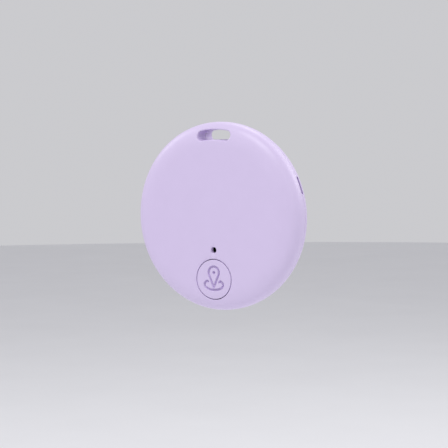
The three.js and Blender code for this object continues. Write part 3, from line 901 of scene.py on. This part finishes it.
def components():
    """Everything soldered to the board, and the solder that holds it."""
    metal = []
    for name, (x, z, degrees), (width, height, length), look in CHIPS:
        front = name == "status_led"
        turn = math.radians(degrees)
        slot, material = look
        y = BOARD_FRONT - 0.02 - height / 2 if front else BOARD_BACK + 0.02 + height / 2
        core = block((width - 0.4, height - 0.04, length - 0.03), (x, y, z), turn, soft=0.04)
        piece(name + "_body", core, "case", [material], [name])
        for end in placed(x, z, turn, front, width / 2 - 0.17):
            metal.append(block((0.34, height, length), (end.x, y, end.z), turn, soft=0.06))
        for end in placed(x, z, turn, front, width / 2 + 0.02):
            foot = end + Vector((0, math.copysign(0.02, y), 0))
            metal.append(blob((0.26, 0.24, length * 0.46), foot))

    x, z = RADIO
    body = block((4, 0.74, 4), (x, BOARD_BACK + 0.45, z), soft=0.06)
    body = carve(body, rod(0.22, BOARD_BACK + 0.79, 2, x - 1.45, z + 1.45, 24))
    piece("radio_package", body, "case", [BLACK_NYLON], ["radio_chip"])
    for i in range(7):
        step = 0.5 * (i - 3)
        for side in (-1.9, 1.9):
            y = BOARD_BACK + 0.11
            metal.append(block((0.3, 0.2, 0.26), (x + side, y, z + step), soft=0.03))
            metal.append(block((0.26, 0.2, 0.3), (x + step, y, z + side), soft=0.03))

    x, z, turn = CRYSTAL
    turn = math.radians(turn)
    base = block((3.2, 0.3, 2.5), (x, BOARD_BACK + 0.17, z), turn, soft=0.04)
    piece("crystal_base", base, "case", [DARK_CERAMIC])
    lid = block((2.9, 0.42, 2.2), (x, BOARD_BACK + 0.51, z), turn, soft=0.12, segments=4)
    piece("crystal_lid", lid, "case", [CELL_STEEL], ["radio_crystal"])

    x, z = INDUCTOR
    ferrite = block((3, 0.8, 3), (x, BOARD_BACK + 0.42, z), soft=0.18, segments=4)
    low, top = BOARD_BACK + 0.5, BOARD_BACK + 1.22
    drum = revolve(rounded([(0, low), (1.3, low), (1.3, top), (0, top)], 0.12), turns=64)
    bmesh.ops.translate(drum, verts=drum.verts, vec=(x, 0, z))
    drum = gather(ferrite, drum)
    piece("inductor_ferrite", drum, "case", [FERRITE], ["boost_inductor"])
    for side in (-1.3, 1.3):
        metal.append(block((0.44, 0.3, 2.2), (x + side, BOARD_BACK + 0.16, z), soft=0.05))

    x, z, turn = DRIVER
    turn = math.radians(turn)
    body = block((2.9, 0.9, 1.3), (x, BOARD_BACK + 0.55, z), turn, soft=0.1, segments=3)
    piece("driver_package", body, "case", [BLACK_NYLON], ["sounder_driver"])
    for i in (-1, 0, 1):
        for side in (-1, 1):
            for reach, height, y in ((0.75, 0.12, 0.5), (0.95, 0.12, 0.09)):
                spot = Matrix.Rotation(turn, 4, "Y") @ Vector((0.95 * i, 0, side * reach))
                size = (0.36, height, 0.34)
                centre = (x + spot.x, BOARD_BACK + y, z + spot.z)
                metal.append(block(size, centre, turn, soft=0.03))
            spot = Matrix.Rotation(turn, 4, "Y") @ Vector((0.95 * i, 0, side * 0.86))
            centre = (x + spot.x, BOARD_BACK + 0.3, z + spot.z)
            metal.append(block((0.36, 0.5, 0.12), centre, turn, soft=0.03))

    for x in (-2.7, 2.7):
        for z in (BUTTON_Z - 1.7, BUTTON_Z + 1.7):
            metal.append(blob((0.55, 0.26, 0.4), (x, BOARD_FRONT, z)))
    piece("soldered_terminals", gather(*metal), "case", [SOLDER])


def cell_tray():
    """The moulded cup that the cell drops into, open for the two contacts."""
    outer, inner, floor, top = 10.8, 10.2, -1.5, -1.15
    cup = revolve(
        rounded(
            [(0, floor), (9.2, floor), (9.2, -1.85), (9.9, -1.85), (9.9, floor), (outer, floor)]
            + [(outer, BOARD_BACK + 0.05), (12, BOARD_BACK + 0.05), (12, BOARD_BACK + 0.45)]
            + [(inner, BOARD_BACK + 0.45), (inner, top), (0, top)],
            0.1,
        ),
        z=CELL_Z,
    )
    cup = carve(cup, rod(2.5, -3, 0, 0, CELL_Z))
    for size, centre in (
        ((6.4, 2.25, 8.4), (0, -1.875, -4.8)),
        ((3, 1.45, 3.6), (-11, top + 0.725, CELL_Z)),
        ((3, 2.95, 3.6), (11, 0.525, CELL_Z)),
        ((26, 5, 3), (0, -0.5, 16.95)),
    ):
        cup = carve(cup, block(size, centre, soft=0.12))
    piece("cell_cup", cup, "case", [WHITE_TRAY], ["cell_tray"])


def contacts():
    """The spring strips under the cell and against its side."""
    negative = strip(
        [(4, -1.07), (1.6, -1.06), (0.5, -1.0), (-0.5, -1.0), (-1.6, -1.06)]
        + [(-10.6, -1.06), (-11.6, -0.49), (-14.2, -0.49)],
        0.12,
        2.8,
        CELL_Z,
    )
    piece("negative_strip", negative, "case", [SPRING], ["negative_contact"])
    positive = strip(
        [(14.4, 0.49), (12.1, 0.49), (11.8, 0.75), (11.75, 1.85), (11.45, 2.15), (11.1, 2.0)]
        + [(10.12, 1.3), (10.12, 0.95), (10.6, 0.35)],
        0.12,
        2.8,
        CELL_Z,
        0.12,
    )
    piece("positive_spring", positive, "case", [SPRING], ["positive_contact"])


def coin_cell():
    """The coin cell's can, gasket, lid and core."""
    front, back, r = CELL_FRONT, CELL_BACK, CELL_RADIUS
    can = (
        face_rings(r - 0.6, back, 0.16)
        + rounded([(r - 0.6, back), (r, back), (r, front + 0.55)], 0.3, 6)
        + rounded(
            [(r, front + 0.45), (r - 0.05, front + 0.3), (r - 0.3, front + 0.18)]
            + [(r - 0.65, front + 0.16), (r - 0.65, front + 0.34), (r - 0.4, front + 0.5)]
            + [(r - 0.25, front + 0.75), (r - 0.25, back - 0.25), (0, back - 0.25)],
            0.1,
        )
    )
    bm = revolve(can, z=CELL_Z)
    face = [v for v in bm.verts if v.co.y > back - 0.001]
    x, z = np.array([(v.co.x, v.co.z - CELL_Z) for v in face]).T
    plus = [[(-1.1, 6.2), (1.1, 6.2)], [(0, 5.1), (0, 7.3)]]
    for v, deep in zip(face, groove_depth(x, z, plus, 0.42, 0.06)):
        v.co.y -= deep
    piece("cell_case", bm, "cell", [CELL_STEEL], ["cell_can"])

    seal = [(9.0, 0.28), (9.3, 0.28), (9.3, 0.38), (9.55, 0.55), (9.7, 0.8), (9.7, 2.8)]
    seal += [(9.45, 2.8), (9.45, 0.7), (9.0, 0.5)]
    bm = revolve([(a, front + b) for a, b in seal], z=CELL_Z, closed=True)
    piece("cell_gasket", bm, "cell", [GASKET], ["cell_seal"])

    cap = [(0, 0), (8.6, 0), (8.85, 0.25), (8.9, 0.52), (9.38, 0.74), (9.38, 0.9), (8.7, 0.72)]
    cap += [(8.55, 0.3), (0, 0.25)]
    bm = revolve(rounded([(a, front + b) for a, b in cap], 0.12), z=CELL_Z)
    piece("cell_lid", bm, "cell", [CELL_STEEL], ["cell_cap"])

    core = rounded([(0, 0.1), (9.35, 0.1), (9.35, 2.0), (0, 2.0)], 0.1)
    piece("cell_pellet", revolve(core, z=CELL_Z), "cell", [MANGANESE], ["cell_core"])


def sounder():
    """The piezo sounder behind the front face, and its two leads."""
    face = -INNER
    ring = revolve(
        [(8.6, face), (10, face), (10.0, face + 0.4), (8.6, face + 0.4)], z=CELL_Z, closed=True
    )
    piece("sounder_foam", ring, "case", [FOAM], ["sounder_ring"])
    brass = rounded([(0, face + 0.4), (10, face + 0.4), (10, face + 0.6), (0, face + 0.6)], 0.05)
    brass = revolve(brass, z=CELL_Z)
    piece("brass_disc", brass, "case", [BRASS], ["sounder_brass"])
    disc = rounded([(0, face + 0.6), (7, face + 0.6), (7, face + 0.8), (0, face + 0.8)], 0.04)
    disc = revolve(disc, z=CELL_Z)
    piece("piezo_disc", disc, "case", [CERAMIC], ["sounder_ceramic"])
    silver = [(0, face + 0.79), (6.6, face + 0.79), (6.6, face + 0.81), (0, face + 0.81)]
    silver = revolve(rounded(silver, 0.01), z=CELL_Z)
    piece("silver_electrode", silver, "case", [SILVER])

    joints = []
    for name, material, sounder_face, route in (
        ("red", RED_PVC, face + 0.8, RED_ROUTE),
        ("black", BLACK_PVC, face + 0.6, BLACK_ROUTE),
    ):
        wire = tube(route, 0.18)
        node_name = "sounder_lead_" + name
        piece(name + "_lead", wire, "case", [material], [node_name])
        start, end = Vector(route[0]), Vector(route[-1])
        joints.append(blob((0.45, 0.3, 0.45), (start.x, sounder_face + 0.04, start.z)))
        joints.append(blob((0.45, 0.3, 0.45), (end.x, BOARD_FRONT - 0.02, end.z)))
    piece("lead_solder_joints", gather(*joints), "case", [SOLDER])


front_shell()
rear_shell()
button()
foam_pad()
push_switch()
main_board()
components()
cell_tray()
contacts()
coin_cell()
sounder()


# ---- studio ----
FLOOR_RADIUS = 1.6  # these are metres
FLOOR_DROP = 0.12
AIR = 0.67  # strength of the even light from all round
# Each lamp's name, its place from the tag's centre and its size in metres, and its power in watts.
LAMPS = (
    ("key", (0.05, -0.35, 0.55), (0.35, 0.35), 1.53),
    ("fill", (-0.25, -0.50, 0.25), (0.40, 0.40), 0.24),
    ("rim", (0.27, 0.47, 0.42), (0.50, 0.50), 0.8),
    ("edge", (0.42, 0.36, 0.28), (0.30, 0.30), 0.6),
    ("back", (-0.10, 0.36, 0.48), (0.25, 0.25), 0.35),
    ("side", (-0.50, -0.05, 0.30), (0.25, 0.25), 0.46),
    ("strip", (0.42, -0.43, 0.16), (0.06, 0.40), 0.12),
)


def studio():
    """A plain pale floor under the tag, an even pale surround and a ring of soft lamps."""
    floor_mesh = bpy.data.meshes.new("floor")
    bm = bmesh.new()
    bmesh.ops.create_circle(bm, cap_ends=True, radius=FLOOR_RADIUS, segments=96)
    bmesh.ops.translate(bm, verts=bm.verts, vec=(0, 0, cad_bounds[0].z - FLOOR_DROP))
    bm.to_mesh(floor_mesh)
    bm.free()
    floor = bpy.data.objects.new("floor", floor_mesh)
    # Seamless paper: pale and matt, with a broad, barely visible mottle.
    floor_mesh.materials.append(
        finish("matt_pale_paper", "ebebee", "e5e5e8", (0.8, 0.9), 2.0, 40, patch=60)
    )
    bpy.context.scene.collection.objects.link(floor)

    world = bpy.data.worlds.new("studio")
    world.use_nodes = True
    background = world.node_tree.nodes["Background"]
    background.inputs["Color"].default_value = linear("f2f2f6")
    background.inputs["Strength"].default_value = AIR
    bpy.context.scene.world = world

    for name, away, size, power in LAMPS:
        light = bpy.data.lights.new(name, "AREA")
        light.shape = "ELLIPSE"
        light.size, light.size_y = size
        light.energy = power
        lamp = bpy.data.objects.new(name, light)
        lamp.location = CENTRE + Vector(away)
        lamp.rotation_euler = (-Vector(away)).to_track_quat("-Z", "Y").to_euler()
        bpy.context.scene.collection.objects.link(lamp)


AZIMUTH = math.radians(31.3)
ELEVATION = math.radians(3.77)
ROLL = math.radians(-0.4)
DISTANCE = 0.32  # metres


def camera():
    """A long lens, level with the tag's middle and a little to its right."""
    away = DISTANCE * Vector(
        (
            math.sin(AZIMUTH) * math.cos(ELEVATION),
            -math.cos(AZIMUTH) * math.cos(ELEVATION),
            math.sin(ELEVATION),
        )
    )
    data = bpy.data.cameras.new("camera")
    data.lens = 115.2
    data.sensor_width = 36
    data.shift_x = 0.0057
    data.shift_y = -0.0179
    data.clip_start = 0.01
    data.clip_end = 10
    made = bpy.data.objects.new("camera", data)
    made.location = CENTRE + away
    level = (-away).to_track_quat("-Z", "Y")
    made.rotation_euler = (level @ Quaternion((0, 0, 1), ROLL)).to_euler()
    bpy.context.scene.collection.objects.link(made)
    bpy.context.scene.camera = made


bpy.context.scene.view_settings.view_transform = "Standard"
studio()
camera()
